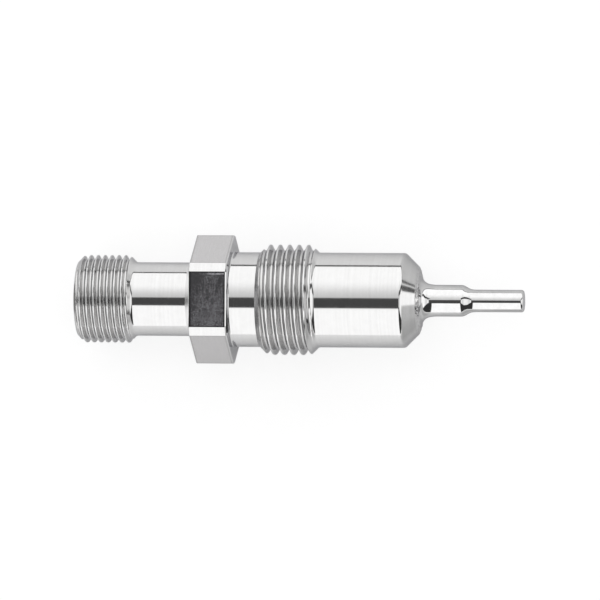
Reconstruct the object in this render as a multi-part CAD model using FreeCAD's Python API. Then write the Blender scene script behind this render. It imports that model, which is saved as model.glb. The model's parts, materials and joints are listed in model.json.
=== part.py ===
import FreeCAD, Part
import math
import os

# Screw-in temperature sensor. Millimetres. The axis of the sensor is X, the tip of the
# probe points to +X, the tail with its contacts to -X, and one flat of the hexagon faces
# down (-Z), as the sensor lies on a bench. The origin is on the axis, in the middle of the
# process thread.

# ---------------------------------------------------------------- driving dimensions
# tail thread, 3/8 pipe parallel thread (fine thread form left plain at its major diameter)
TAIL_D = 16.662
TAIL_L = 11.1             # with both end chamfers
TAIL_RIM_D = 14.3         # rear rim, at the start of the end chamfer
# neck
NECK_D = 14.0
NECK_L = 11.6
NECK_FILLET = 0.9         # at the hexagon
# hexagon, corners turned down before milling
HEX_AF = 22.0
HEX_CORNER_D = 24.4
HEX_L = 7.15
HEX_BEVEL = 0.28          # front edges
HEX_BEVEL_REAR = 0.10
# relief between hexagon and process thread
RELIEF_D = 18.0
RELIEF_L = 5.1
RELIEF_FILLET = 0.25
# process thread, 1/2 pipe parallel thread
PROC_D = 20.955
PROC_L = 11.2             # with both end chamfers
# shank and sealing cone
SHANK_D = 18.0
SHANK_L = 16.55
CONE_L = 2.5              # 45 degrees
CONE_EDGE_R = 0.85         # turned edge between shank and cone
# nose weld and probe sheath
WELD_L = 0.53             # weld ring, from the end of the cone to the flared foot
FOOT_D = 9.36             # flared foot where the weld ends
FOOT_SEAT_L = 1.15        # depth of the foot in the body
STEM_D = 6.0
STEM_ID = 4.9
TIP_D = 4.25
TIP_ID = 3.5
FLARE_L = 3.02            # weld to where the stem becomes straight
STEM_END = 8.05           # end of the cone to the start of the drawn-down part
TAPER_SLOPE = 29.0        # degrees, in the middle of the drawn-down part
TAPER_RUN_OUT = 9.0       # degrees, where its end becomes a wider arc
TAPER_R = (1.8, 2.16, 5.1)
TIP_END = 20.08           # end of the cone to the end of the tip
TIP_WALL = 0.83
TIP_EDGE_R = 0.50
# tail socket and bores
SOCKET_D = 11.0
SOCKET_L = 14.35          # rear face to the shoulder that the carrier sits on
RING_GROOVE_D = 12.0
RING_GROOVE_W = 1.1
CAVITY_D = 9.0
CAVITY_END = 24.0         # from the front of the hexagon
FRONT_BORE_D = 3.6
MOUTH_BEVEL = 0.4
# contact carrier
CARRIER_D = 10.9
CARRIER_L = 5.1
SEAL_GROOVE_D = 8.7
SEAL_GROOVE_W = 1.5
SEAL_SECTION = 1.14
KEY_H = 4.0
# contacts, on a circle
PIN_CIRCLE_D = 6.4
PIN_D = 1.0
PIN_OUT = 6.7             # free length in the socket
COLLAR_D = 1.6
CUP_L = 3.5
CUP_DEPTH = 2.2
# retaining ring
RING_T = 1.0
RING_IN_D = 9.5
# wires, insulator, element
WIRE_D = 0.36
LEAD_D = 0.22
INS_D = 3.3
INS_BORE_D = 0.46
INS_CIRCLE_D = 1.6
INS_REAR = 20.0           # stations from the front of the hexagon
INS_FRONT = 47.2
CRIMP_D = 1.1
CRIMP_L = 2.3
CRIMP_REAR = 48.3
CRIMP_Y = 0.75
CRIMP_WIRE_Z = 0.25
CHIP_X0 = 51.9
CHIP = (2.3, 1.9, 1.0)

# ---------------------------------------------------------------- stations along X
HEX_FRONT = -(RELIEF_L + PROC_L / 2.0)      # front face of the hexagon
HEX_REAR = HEX_FRONT - HEX_L
NECK_REAR = HEX_REAR - NECK_L
REAR = NECK_REAR - TAIL_L
PROC_0 = HEX_FRONT + RELIEF_L
PROC_1 = PROC_0 + PROC_L
CONE_0 = PROC_1 + SHANK_L
CONE_1 = CONE_0 + CONE_L
R_CONE_END = SHANK_D / 2.0 - CONE_L
WELD_1 = CONE_1 + WELD_L
FOOT_BACK = CONE_1 - FOOT_SEAT_L
FLARE_1 = WELD_1 + FLARE_L
STEM_1 = CONE_1 + STEM_END
t_a, t_b = math.radians(TAPER_SLOPE), math.radians(TAPER_RUN_OUT)
TAPER_RUN = ((STEM_D - TIP_D) / 2.0 - TAPER_R[0] * (1 - math.cos(t_a)) - TAPER_R[1] * (math.cos(t_b) - math.cos(t_a))
             - TAPER_R[2] * (1 - math.cos(t_b))) / math.tan(t_a)
TAPER_1 = (STEM_1 + TAPER_R[0] * math.sin(t_a) + TAPER_RUN + TAPER_R[1] * (math.sin(t_a) - math.sin(t_b))
           + TAPER_R[2] * math.sin(t_b))
TIP_1 = CONE_1 + TIP_END
SHOULDER = REAR + SOCKET_L
CARRIER_FACE = SHOULDER - CARRIER_L

V = FreeCAD.Vector
AXIS0, AXIS1 = V(0, 0, 0), V(1, 0, 0)


def at(s):
    """Station measured from the front of the hexagon, in the part's frame."""
    return HEX_FRONT + s


def line(a, b):
    return Part.LineSegment(V(a[0], 0, a[1]), V(b[0], 0, b[1])).toShape()


def arc(a, m, b):
    return Part.Arc(V(a[0], 0, a[1]), V(m[0], 0, m[1]), V(b[0], 0, b[1])).toShape()


def revolve(edges):
    """Solid of revolution about X from a closed section of edges in (x, radius)."""
    face = Part.Face(Part.Wire(edges))
    return face.revolve(AXIS0, AXIS1, 360)


def poly(points):
    pts = list(points) + [points[0]]
    return [line(a, b) for a, b in zip(pts[:-1], pts[1:])]


def cyl(x0, x1, d, y=0.0, z=0.0):
    return Part.makeCylinder(d / 2.0, x1 - x0, V(x0, y, z), V(1, 0, 0))


def cone(x0, x1, r0, r1):
    return Part.makeCone(r0, r1, x1 - x0, V(x0, 0, 0), V(1, 0, 0))


parts = {}

# ---------------------------------------------------------------- sensor body
rt, rn, rp, rs = TAIL_D / 2, NECK_D / 2, PROC_D / 2, SHANK_D / 2
rim = TAIL_RIM_D / 2
rr = RELIEF_D / 2
f, fn = RELIEF_FILLET, NECK_FILLET
ce = CONE_EDGE_R
ct, c22 = ce * math.tan(math.radians(22.5)), math.radians(22.5)
c45 = math.sin(math.radians(45.0))
tail_side = [
    line((REAR, 0), (REAR, rim)),
    line((REAR, rim), (REAR + rt - rim, rt)),
    line((REAR + rt - rim, rt), (NECK_REAR - (rt - rn), rt)),
    line((NECK_REAR - (rt - rn), rt), (NECK_REAR, rn)),
    line((NECK_REAR, rn), (HEX_REAR - fn, rn)),
    arc((HEX_REAR - fn, rn), (HEX_REAR - fn + fn * c45, rn + fn - fn * c45), (HEX_REAR, rn + fn)),
    line((HEX_REAR, rn + fn), (HEX_REAR, rr)),
    line((HEX_REAR, rr), (HEX_REAR + HEX_L / 2, rr)),
    line((HEX_REAR + HEX_L / 2, rr), (HEX_REAR + HEX_L / 2, 0)),
    line((HEX_REAR + HEX_L / 2, 0), (REAR, 0)),
]
nose_side = [
    line((HEX_FRONT - HEX_L / 2, 0), (HEX_FRONT - HEX_L / 2, rr)),
    line((HEX_FRONT - HEX_L / 2, rr), (HEX_FRONT, rr)),
    line((HEX_FRONT, rr), (HEX_FRONT, rr + f)),
    arc((HEX_FRONT, rr + f), (HEX_FRONT + f - f * c45, rr + f - f * c45), (HEX_FRONT + f, rr)),
    line((HEX_FRONT + f, rr), (PROC_0, rr)),
    line((PROC_0, rr), (PROC_0 + rp - rr, rp)),
    line((PROC_0 + rp - rr, rp), (PROC_1 - (rp - rs), rp)),
    line((PROC_1 - (rp - rs), rp), (PROC_1, rs)),
    line((PROC_1, rs), (CONE_0 - ct, rs)),
    arc((CONE_0 - ct, rs), (CONE_0 - ct + ce * math.sin(c22), rs - ce + ce * math.cos(c22)),
        (CONE_0 - ct + ce * c45, rs - ce + ce * c45)),
    line((CONE_0 - ct + ce * c45, rs - ce + ce * c45), (CONE_1, R_CONE_END)),
    line((CONE_1, R_CONE_END), (CONE_1, 0)),
    line((CONE_1, 0), (HEX_FRONT - HEX_L / 2, 0)),
]
# hexagon prism with flats facing up and down, bevelled edges, corners turned to a cylinder
hex_pts = []
for k in range(6):
    a = math.radians(60 * k)
    hex_pts.append(V(HEX_REAR, HEX_AF / math.sqrt(3) * math.cos(a), HEX_AF / math.sqrt(3) * math.sin(a)))
hex_face = Part.Face(Part.makePolygon(hex_pts + [hex_pts[0]]))
hexagon = hex_face.extrude(V(HEX_L, 0, 0))
corner = cyl(HEX_REAR, HEX_FRONT, HEX_CORNER_D)
hexagon = hexagon.common(corner)
for x_face, bevel in ((HEX_FRONT, HEX_BEVEL), (HEX_REAR, HEX_BEVEL_REAR)):
    rim_edges = [e for e in hexagon.Edges
                 if abs(e.BoundBox.XMin - x_face) < 1e-6 and abs(e.BoundBox.XMax - x_face) < 1e-6]
    hexagon = hexagon.makeChamfer(bevel, rim_edges)

body = revolve(tail_side).fuse([hexagon, revolve(nose_side)]).removeSplitter()

# tail socket, ring groove, wire cavity with a drill-point end, front bore, seat of the foot
mb = MOUTH_BEVEL
sr, gr, cr, fr = SOCKET_D / 2, RING_GROOVE_D / 2, CAVITY_D / 2, FRONT_BORE_D / 2
drill = (cr - fr) / math.tan(math.radians(59.0))
groove_1 = CARRIER_FACE
groove_0 = groove_1 - RING_GROOVE_W
bore = revolve(poly([
    (REAR - 1, 0), (REAR - 1, sr + mb), (REAR, sr + mb), (REAR + mb, sr), (groove_0, sr), (groove_0, gr),
    (groove_1, gr), (groove_1, sr), (SHOULDER, sr), (SHOULDER, cr), (at(CAVITY_END), cr),
    (at(CAVITY_END) + drill, fr), (FOOT_BACK, fr), (FOOT_BACK, FOOT_D / 2), (CONE_1 + 1, FOOT_D / 2),
    (CONE_1 + 1, 0)]))
parts["sensor_body"] = body.cut(bore)

# ---------------------------------------------------------------- nose weld ring
foot_r = FOOT_D / 2
weld_mid = (CONE_1 + 0.285, 5.6)
parts["nose_weld"] = revolve([
    line((CONE_1, foot_r), (CONE_1, R_CONE_END)),
    arc((CONE_1, R_CONE_END), weld_mid, (WELD_1, foot_r)),
    line((WELD_1, foot_r), (CONE_1, foot_r)),
])

# ---------------------------------------------------------------- probe sheath
# Flare: a short steep run, a tight arc, then a wide arc tangent to the straight stem.
WIDE_R, TIGHT_R = 7.27, 1.98
A1, A2 = math.radians(11.5), math.radians(66.0)
stem_r = STEM_D / 2


def on_arc(cx, cz, r, a):
    return (cx - r * math.sin(a), cz - r * math.cos(a))


wide_c = (FLARE_1, stem_r + WIDE_R)
p_w = on_arc(wide_c[0], wide_c[1], WIDE_R, A1)
tight_c = (p_w[0] + TIGHT_R * math.sin(A1), p_w[1] + TIGHT_R * math.cos(A1))
p_t = on_arc(tight_c[0], tight_c[1], TIGHT_R, A2)
tip_r = TIP_D / 2


def drawn_down(x0, r0, x1, r1, slope=27.5):
    """Edges of an arc, a straight run and an equal arc between two straight tube runs."""
    d, length, a = r0 - r1, x1 - x0, math.radians(slope)
    cot = 1 / math.tan(a)
    rad = (length - d * cot) / (2 * (math.sin(a) - cot * (1 - math.cos(a))))

    def one(t):
        return (x0 + rad * math.sin(t), r0 - rad * (1 - math.cos(t)))

    def two(t):
        return (x1 - rad * math.sin(t), r1 + rad * (1 - math.cos(t)))

    return [arc(one(0), one(a / 2), one(a)), line(one(a), two(a)), arc(two(a), two(a / 2), two(0))]


def taper():
    """Outer edges of the drawn-down part: arc, straight run, arc, and a wider arc into the tip's tube."""
    ra, rb, rc = TAPER_R

    def one(t):
        return (STEM_1 + ra * math.sin(t), stem_r - ra * (1 - math.cos(t)))

    def three(t):
        return (TAPER_1 - rc * math.sin(t), tip_r + rc * (1 - math.cos(t)))

    end = three(t_b)

    def two(t):
        return (end[0] - rb * (math.sin(t) - math.sin(t_b)), end[1] + rb * (math.cos(t_b) - math.cos(t)))

    return [arc(one(0), one(t_a / 2), one(t_a)), line(one(t_a), two(t_a)), arc(two(t_a), two((t_a + t_b) / 2), end),
            arc(end, three(t_b / 2), three(0))]


def s_curve(x0, r0, x1, r1):
    """Two equal tangent arcs between two parallel runs, as points for two arcs."""
    d, length = r1 - r0, x1 - x0
    ph = 2 * math.atan2(abs(d), abs(length))
    rad = abs(length) / (2 * math.sin(ph))
    sx, sd = math.copysign(1, length), math.copysign(1, d)
    m1 = (x0 + sx * rad * math.sin(ph / 2), r0 + sd * rad * (1 - math.cos(ph / 2)))
    mid = ((x0 + x1) / 2, (r0 + r1) / 2)
    m2 = (x1 - sx * rad * math.sin(ph / 2), r1 - sd * rad * (1 - math.cos(ph / 2)))
    return (x0, r0), m1, mid, m2, (x1, r1)


er = TIP_EDGE_R
in_r, in_tip = STEM_ID / 2, TIP_ID / 2
TIP_IN = TIP_1 - TIP_WALL
sheath_outer = [
    line((FOOT_BACK, 0), (FOOT_BACK, foot_r)),
    line((FOOT_BACK, foot_r), (WELD_1, foot_r)),
    line((WELD_1, foot_r), p_t),
    arc(p_t, on_arc(tight_c[0], tight_c[1], TIGHT_R, (A1 + A2) / 2), p_w),
    arc(p_w, on_arc(wide_c[0], wide_c[1], WIDE_R, A1 / 2), (FLARE_1, stem_r)),
    line((FLARE_1, stem_r), (STEM_1, stem_r)),
    *taper(),
    line((TAPER_1, tip_r), (TIP_1 - er, tip_r)),
    arc((TIP_1 - er, tip_r), (TIP_1 - er + er * c45, tip_r - er + er * c45), (TIP_1, tip_r - er)),
    line((TIP_1, tip_r - er), (TIP_1, 0)),
    line((TIP_1, 0), (FOOT_BACK, 0)),
]
sheath_inner = [
    line((FOOT_BACK, 0), (FOOT_BACK, in_r)),
    line((FOOT_BACK, in_r), (STEM_1 - 0.25, in_r)),
    *drawn_down(STEM_1 - 0.25, in_r, TAPER_1 - 0.45, in_tip),
    line((TAPER_1 - 0.45, in_tip), (TIP_IN - 0.4, in_tip)),
    arc((TIP_IN - 0.4, in_tip), (TIP_IN - 0.4 + 0.4 * c45, in_tip - 0.4 + 0.4 * c45), (TIP_IN, in_tip - 0.4)),
    line((TIP_IN, in_tip - 0.4), (TIP_IN, 0)),
    line((TIP_IN, 0), (FOOT_BACK, 0)),
]
sheath_space = revolve(sheath_inner)
parts["probe_sheath"] = revolve(sheath_outer).cut(sheath_space)

# ---------------------------------------------------------------- element, leads, crimps
chip = Part.makeBox(CHIP[0], CHIP[1], CHIP[2], V(at(CHIP_X0), -CHIP[1] / 2, -CHIP[2] / 2))
chip = chip.makeFillet(0.12, [e for e in chip.Edges if abs(e.BoundBox.XMax - e.BoundBox.XMin) > 1.0])
parts["sensing_element"] = chip
crimp_0, crimp_1 = at(CRIMP_REAR), at(CRIMP_REAR) + CRIMP_L
for name, side in (("a", 1), ("b", -1)):
    y = side * CRIMP_Y
    lead = cyl(crimp_1 - 1.0, at(CHIP_X0), LEAD_D, y, 0)
    barrel = cyl(crimp_0, crimp_1, CRIMP_D, y, 0)
    barrel = barrel.makeFillet(0.08, [e for e in barrel.Edges if abs(e.BoundBox.XMax - e.BoundBox.XMin) < 1e-6])
    barrel = barrel.cut(lead)
    for zz in (1, -1):
        barrel = barrel.cut(cyl(crimp_0 - 0.5, crimp_0 + 1.0, WIRE_D, y, zz * CRIMP_WIRE_Z))
    parts["element_lead_" + name] = lead
    parts["crimp_sleeve_" + name] = barrel

# ---------------------------------------------------------------- extension wires
# Each wire: straight in the crimp, a small bend to its insulator bore, straight through the
# insulator, a wide bend out to its contact, straight into the solder cup. All runs along X.
pin_r = PIN_CIRCLE_D / 2
ins_r = INS_CIRCLE_D / 2
CUP_END = SHOULDER + CUP_L
BEND_A0, BEND_A1 = at(17.0), at(6.0)          # wide bend
BEND_B0, BEND_B1 = at(48.2), at(INS_FRONT) + 0.05


def bend(p0, x0, p1, x1):
    """Edges of an S of two equal tangent arcs between two runs along X."""
    off = V(0, p1[0] - p0[0], p1[1] - p0[1])
    d = off.Length
    u = off * (1.0 / d)
    pts = s_curve(x0, 0.0, x1, d)
    v = [V(a, p0[0], p0[1]) + u * b for a, b in pts]
    return [Part.Arc(v[0], v[1], v[2]).toShape(), Part.Arc(v[2], v[3], v[4]).toShape()]


wires = []
wire_tool = []
pin_at = []
for k in range(4):
    ai = math.radians(45 + 90 * k)
    ap = math.radians(90 + 90 * k)
    b = (ins_r * math.cos(ai), ins_r * math.sin(ai))
    cpt = (math.copysign(CRIMP_Y, b[0]), math.copysign(CRIMP_WIRE_Z, b[1]))
    ppt = (pin_r * math.cos(ap), pin_r * math.sin(ap))
    pin_at.append(ppt)
    start = V(crimp_0 + 1.0, cpt[0], cpt[1])
    edges = [Part.LineSegment(start, V(BEND_B0, cpt[0], cpt[1])).toShape()]
    edges += bend(cpt, BEND_B0, b, BEND_B1)
    edges += [Part.LineSegment(V(BEND_B1, b[0], b[1]), V(BEND_A0, b[0], b[1])).toShape()]
    edges += bend(b, BEND_A0, ppt, BEND_A1)
    edges += [Part.LineSegment(V(BEND_A1, ppt[0], ppt[1]), V(CUP_END - CUP_DEPTH, ppt[0], ppt[1])).toShape()]
    path = Part.Wire(edges)
    ring = Part.Wire([Part.Circle(start, V(1, 0, 0), WIRE_D / 2).toShape()])
    tube = path.makePipeShell([ring], True, False)
    want = math.pi * (WIRE_D / 2) ** 2 * path.Length
    print("wire", k + 1, "valid", tube.isValid(), "volume", round(tube.Volume, 4), "section x length", round(want, 4))
    wires.append(tube)
    parts["lead_wire_%d" % (k + 1)] = tube

# ---------------------------------------------------------------- insulator
ins = cyl(at(INS_REAR), at(INS_FRONT), INS_D)
ins = ins.makeChamfer(0.15, [e for e in ins.Edges if abs(e.BoundBox.XMax - e.BoundBox.XMin) < 1e-6])
for k in range(4):
    ai = math.radians(45 + 90 * k)
    ins = ins.cut(cyl(at(INS_REAR) - 1, at(INS_FRONT) + 1, INS_BORE_D, ins_r * math.cos(ai), ins_r * math.sin(ai)))
parts["bore_insulator"] = ins

# ---------------------------------------------------------------- contacts
pins = []
for k, (y, z) in enumerate(pin_at):
    x_tip = CARRIER_FACE - PIN_OUT
    pr, kr = PIN_D / 2, COLLAR_D / 2
    s = revolve([
        line((x_tip, 0), (x_tip, pr - 0.3)),
        arc((x_tip, pr - 0.3), (x_tip + 0.3 - 0.3 * c45, pr - 0.3 + 0.3 * c45), (x_tip + 0.3, pr)),
        line((x_tip + 0.3, pr), (CARRIER_FACE + 1.2, pr)),
        line((CARRIER_FACE + 1.2, pr), (CARRIER_FACE + 1.2, kr)),
        line((CARRIER_FACE + 1.2, kr), (CARRIER_FACE + 3.2, kr)),
        line((CARRIER_FACE + 3.2, kr), (CARRIER_FACE + 3.2, pr + 0.1)),
        line((CARRIER_FACE + 3.2, pr + 0.1), (SHOULDER, pr + 0.1)),
        line((SHOULDER, pr + 0.1), (SHOULDER, kr)),
        line((SHOULDER, kr), (CUP_END, kr)),
        line((CUP_END, kr), (CUP_END, WIRE_D / 2)),
        line((CUP_END, WIRE_D / 2), (CUP_END - CUP_DEPTH, WIRE_D / 2)),
        line((CUP_END - CUP_DEPTH, WIRE_D / 2), (CUP_END - CUP_DEPTH, 0)),
        line((CUP_END - CUP_DEPTH, 0), (x_tip, 0)),
    ])
    s.translate(V(0, y, z))
    pins.append(s)
    parts["contact_pin_%d" % (k + 1)] = s

# ---------------------------------------------------------------- contact carrier with key
ca, sg = CARRIER_D / 2, SEAL_GROOVE_D / 2
g0 = SHOULDER - 1.1 - SEAL_GROOVE_W
g1 = g0 + SEAL_GROOVE_W
carrier = revolve(poly([
    (CARRIER_FACE, 0), (CARRIER_FACE, ca - 0.3), (CARRIER_FACE + 0.3, ca), (g0, ca), (g0, sg), (g1, sg), (g1, ca),
    (SHOULDER, ca), (SHOULDER, 0)]))
key_in, key_out, key_half = 3.85, 4.6, 11.0
key = Part.makeCylinder(key_out, KEY_H, V(CARRIER_FACE - KEY_H, 0, 0), V(1, 0, 0), 360).cut(
    cyl(CARRIER_FACE - KEY_H - 1, CARRIER_FACE + 1, 2 * key_in))
wedge = [V(CARRIER_FACE - KEY_H - 1, 0, 0)]
for a in (45.0 - key_half, 45.0, 45.0 + key_half):
    wedge.append(V(CARRIER_FACE - KEY_H - 1, 8 * math.cos(math.radians(a)), 8 * math.sin(math.radians(a))))
key = key.common(Part.Face(Part.makePolygon(wedge + [wedge[0]])).extrude(V(KEY_H + 2, 0, 0)))
carrier = carrier.fuse(key).removeSplitter()
for s in pins:
    carrier = carrier.cut(s)
parts["contact_carrier"] = carrier

# ---------------------------------------------------------------- carrier seal
seal_mid = (g0 + g1) / 2
parts["carrier_seal"] = Part.makeTorus((SOCKET_D / 2 + sg) / 2, SEAL_SECTION / 2, V(seal_mid, 0, 0), V(1, 0, 0))

# ---------------------------------------------------------------- retaining ring
ring_1 = CARRIER_FACE
ring_0 = ring_1 - RING_T
ring = cyl(ring_0, ring_1, RING_GROOVE_D - 0.04).cut(cyl(ring_0 - 1, ring_1 + 1, RING_IN_D))
lug_r = 0.78
lugs = []
for a in (225.0 - 15.0, 225.0 + 15.0):
    lugs.append((4.65 * math.cos(math.radians(a)), 4.65 * math.sin(math.radians(a))))
for (y, z) in lugs:
    ring = ring.fuse(cyl(ring_0, ring_1, 2 * lug_r, y, z))
ring = ring.removeSplitter()
for (y, z) in lugs:
    ring = ring.cut(cyl(ring_0 - 1, ring_1 + 1, 0.8, y, z))
gap = [V(ring_0 - 1, 0, 0)]
for a in (225.0 - 5.0, 225.0 + 5.0):
    gap.append(V(ring_0 - 1, 9 * math.cos(math.radians(a)), 9 * math.sin(math.radians(a))))
ring = ring.cut(Part.Face(Part.makePolygon(gap + [gap[0]])).extrude(V(RING_T + 2, 0, 0)))
parts["retaining_ring"] = ring

# ---------------------------------------------------------------- fillings
fill = sheath_space
for n in ("bore_insulator", "crimp_sleeve_a", "crimp_sleeve_b", "element_lead_a", "element_lead_b",
          "sensing_element"):
    fill = fill.cut(parts[n])
# the packed powder leaves the insulator's bores free
ins_core = cyl(at(INS_REAR), at(INS_FRONT), INS_D)
fill = fill.cut(ins_core)
for t in wires:
    fill = fill.cut(t)
parts["mineral_filling"] = fill

resin = revolve(poly([
    (SHOULDER, 0), (SHOULDER, cr), (at(CAVITY_END), cr), (at(CAVITY_END) + drill, fr),
    (at(CAVITY_END) + drill, 0)]))
resin = resin.cut(ins_core)
for s in pins:
    resin = resin.cut(s)
for t in wires:
    resin = resin.cut(t)
parts["potting_fill"] = resin

# ---------------------------------------------------------------- write
os.makedirs("parts", exist_ok=True)
for name, shape in parts.items():
    solids = shape.Solids
    if len(solids) == 1:
        shape = solids[0]
    shape.exportStep("parts/%s.step" % name)
    bb = shape.BoundBox
    print("%-18s solids %d valid %s vol %9.3f  x %.2f..%.2f y %.2f..%.2f z %.2f..%.2f" % (
        name, len(solids), shape.isValid(), shape.Volume, bb.XMin, bb.XMax, bb.YMin, bb.YMax, bb.ZMin, bb.ZMax))
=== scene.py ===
import json
import math

import bpy
import numpy as np
from mathutils import Matrix, Vector


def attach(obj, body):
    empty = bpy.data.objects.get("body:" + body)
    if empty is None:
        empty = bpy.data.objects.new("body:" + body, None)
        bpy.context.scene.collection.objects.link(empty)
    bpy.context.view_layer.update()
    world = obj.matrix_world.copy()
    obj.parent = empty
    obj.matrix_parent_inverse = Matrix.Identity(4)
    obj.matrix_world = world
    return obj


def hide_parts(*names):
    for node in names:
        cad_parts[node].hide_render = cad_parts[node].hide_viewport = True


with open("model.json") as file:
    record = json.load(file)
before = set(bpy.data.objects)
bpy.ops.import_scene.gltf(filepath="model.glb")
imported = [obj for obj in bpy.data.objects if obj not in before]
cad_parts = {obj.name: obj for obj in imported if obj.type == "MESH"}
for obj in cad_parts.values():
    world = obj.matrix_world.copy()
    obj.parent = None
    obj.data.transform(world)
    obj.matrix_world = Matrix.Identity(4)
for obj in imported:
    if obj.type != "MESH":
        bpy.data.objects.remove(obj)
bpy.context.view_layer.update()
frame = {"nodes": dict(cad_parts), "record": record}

MM = 0.001
TAU = 2.0 * math.pi

# ------------------------------------------------------------------ sizes (mm), as in the CAD
TAIL_R, TAIL_ROOT, TAIL_P, TAIL_TOP = 8.331, 7.475, 1.337, -35.634
PROC_R, PROC_ROOT, PROC_P, PROC_TOP = 10.4775, 9.3155, 1.814, -0.119
HEX_FRONT = -10.7
HEX_REAR = HEX_FRONT - 7.15
NECK_REAR = HEX_REAR - 11.6
REAR = NECK_REAR - 11.1
PROC_0, PROC_1 = -5.6, 5.6
CONE_0 = PROC_1 + 16.55
CONE_1 = CONE_0 + 2.5
WELD_1 = CONE_1 + 0.53
FOOT_R, FOOT_BACK = 4.68, CONE_1 - 1.15
FLARE_1 = WELD_1 + 3.02
STEM_1 = CONE_1 + 8.05
TIP_R = 2.125
TAPER_R, TAPER_A, TAPER_B = (1.8, 2.16, 5.1), math.radians(29.0), math.radians(9.0)
TAPER_RUN = (3.0 - TIP_R - TAPER_R[0] * (1 - math.cos(TAPER_A)) - TAPER_R[1] * (math.cos(TAPER_B) - math.cos(TAPER_A))
             - TAPER_R[2] * (1 - math.cos(TAPER_B))) / math.tan(TAPER_A)
TAPER_1 = (STEM_1 + TAPER_R[0] * math.sin(TAPER_A) + TAPER_RUN + TAPER_R[1] * (math.sin(TAPER_A) - math.sin(TAPER_B))
           + TAPER_R[2] * math.sin(TAPER_B))
TIP_1 = CONE_1 + 20.08
SHOULDER = REAR + 14.35
CARRIER_FACE = SHOULDER - 5.1
NT = 240                                   # segments round the body


# ------------------------------------------------------------------ mesh building
def angles(n=NT):
    return np.arange(n) * TAU / n


class Skin:
    """Closed surface of revolution built ring by ring, with helical stretches for threads."""

    def __init__(self, n=NT):
        self.n = n
        self.v, self.f, self.m = [], [], []
        self.count = 0

    def add(self, pts):
        start = self.count
        self.v.append(np.asarray(pts, float))
        self.count += len(pts)
        return np.arange(start, self.count)

    def ring(self, x, r, th=None):
        th = angles(self.n) if th is None else th
        r = np.broadcast_to(r, th.shape)
        x = np.broadcast_to(x, th.shape)
        return self.add(np.stack([x, r * np.cos(th), r * np.sin(th)], 1))

    def face(self, ids, mat):
        out = []
        for i in ids:
            if i not in out:
                out.append(int(i))
        if len(out) >= 3:
            self.f.append(out)
            self.m.append(mat)

    def join(self, a, b, mat):
        n = self.n
        for j in range(n):
            k = (j + 1) % n
            self.face((a[j], a[k], b[k], b[j]), mat if isinstance(mat, int) else int(mat[j]))

    def cap(self, ring, mat, flip=False):
        c = self.add([self.points()[ring].mean(0)])[0]
        n = self.n
        for j in range(n):
            k = (j + 1) % n
            self.face((ring[k], ring[j], c) if flip else (ring[j], ring[k], c), mat)

    def points(self):
        return np.concatenate(self.v)

    def thread(self, ring_a, ring_b, xa, xb, pitch, top, offs, prof, env, mat):
        """Helical grid between two plain rings: grid lines follow the crest, clipped at xa and xb."""
        n, k = self.n, len(offs)
        th = angles(n)
        m0 = int(math.floor((xa - top - 2 * pitch) / pitch))
        m1 = int(math.ceil((xb - top + 1 * pitch) / pitch))
        rows = [(m, q) for m in range(m0, m1 + 1) for q in range(k)]
        idx = np.zeros((len(rows), n), int)
        for i, (m, q) in enumerate(rows):
            x = top + m * pitch + offs[q] + pitch * th / TAU
            r = np.minimum(prof[q], env(x))
            low, high = x <= xa + 0.004, x >= xb - 0.004
            inside = ~(low | high)
            idx[i, low] = ring_a[low]
            idx[i, high] = ring_b[high]
            if inside.any():
                t = th[inside]
                idx[i, inside] = self.add(np.stack([x[inside], r[inside] * np.cos(t), r[inside] * np.sin(t)], 1))
        for i in range(len(rows) - 1):
            for j in range(n):
                if j < n - 1:
                    q = (idx[i, j], idx[i, j + 1], idx[i + 1, j + 1], idx[i + 1, j])
                elif i + 1 + k < len(rows):
                    q = (idx[i, j], idx[i + k, 0], idx[i + 1 + k, 0], idx[i + 1, j])
                else:
                    q = (idx[i, j], ring_b[0], ring_b[0], idx[i + 1, j])
                self.face(q, mat)

    def make(self, name, mats, sharp=20.0):
        mesh = bpy.data.meshes.new(name)
        mesh.from_pydata((self.points() * MM).tolist(), [], self.f)
        for mt in mats:
            mesh.materials.append(mt)
        mesh.polygons.foreach_set("material_index", np.array(self.m, np.int32))
        mesh.polygons.foreach_set("use_smooth", np.ones(len(self.f), bool))
        mesh.update()
        mesh.set_sharp_from_angle(angle=math.radians(sharp))
        obj = bpy.data.objects.new(name, mesh)
        bpy.context.scene.collection.objects.link(obj)
        return obj


def thread_form(pitch, major):
    """Offsets along the axis and radii over one pitch of a 55 degree pipe thread, crest at 0: narrow flat crest, round root."""
    a = math.radians(62.5)
    xc, cc = 0.043 * pitch, 0.036 * pitch      # half flat of the crest, and its edge rounding as one short facet
    xr, rr = 0.150 * pitch, 0.125 * pitch      # half width of the root, and the radius of its corners
    x1 = xc + cc
    r1 = major - cc * math.tan(a / 2)
    drop = (pitch / 2 - x1 - xr) * math.tan(a)
    r2 = r1 - drop
    flat = xr - rr * math.sin(a)
    low = r2 - rr * (1 - math.cos(a))
    offs, prof = [-x1, -xc, 0.0, xc], [r1, major, major, major]
    for q in range(4):                     # flank
        offs.append(x1 + (pitch / 2 - xr - x1) * q / 4)
        prof.append(r1 - drop * q / 4)
    for side in (-1, 1):                   # corners of the root, with a short flat between them
        for q in range(6 if side < 0 else 5):
            t = a * (5 - q) / 5 if side < 0 else a * q / 5
            offs.append(pitch / 2 + side * (flat + rr * math.sin(t)))
            prof.append(low + rr * (1 - math.cos(t)))
    for q in range(4):                     # flank
        offs.append(pitch / 2 + xr + (pitch / 2 - xr - x1) * q / 4)
        prof.append(r2 + drop * q / 4)
    return np.array(offs), np.array(prof)


def arc_pts(c, r, a0, a1, n):
    """Points on a circle in the (x, radius) plane, angles in degrees."""
    return [(c[0] + r * math.cos(math.radians(a)), c[1] + r * math.sin(math.radians(a)))
            for a in np.linspace(a0, a1, n)]


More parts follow.
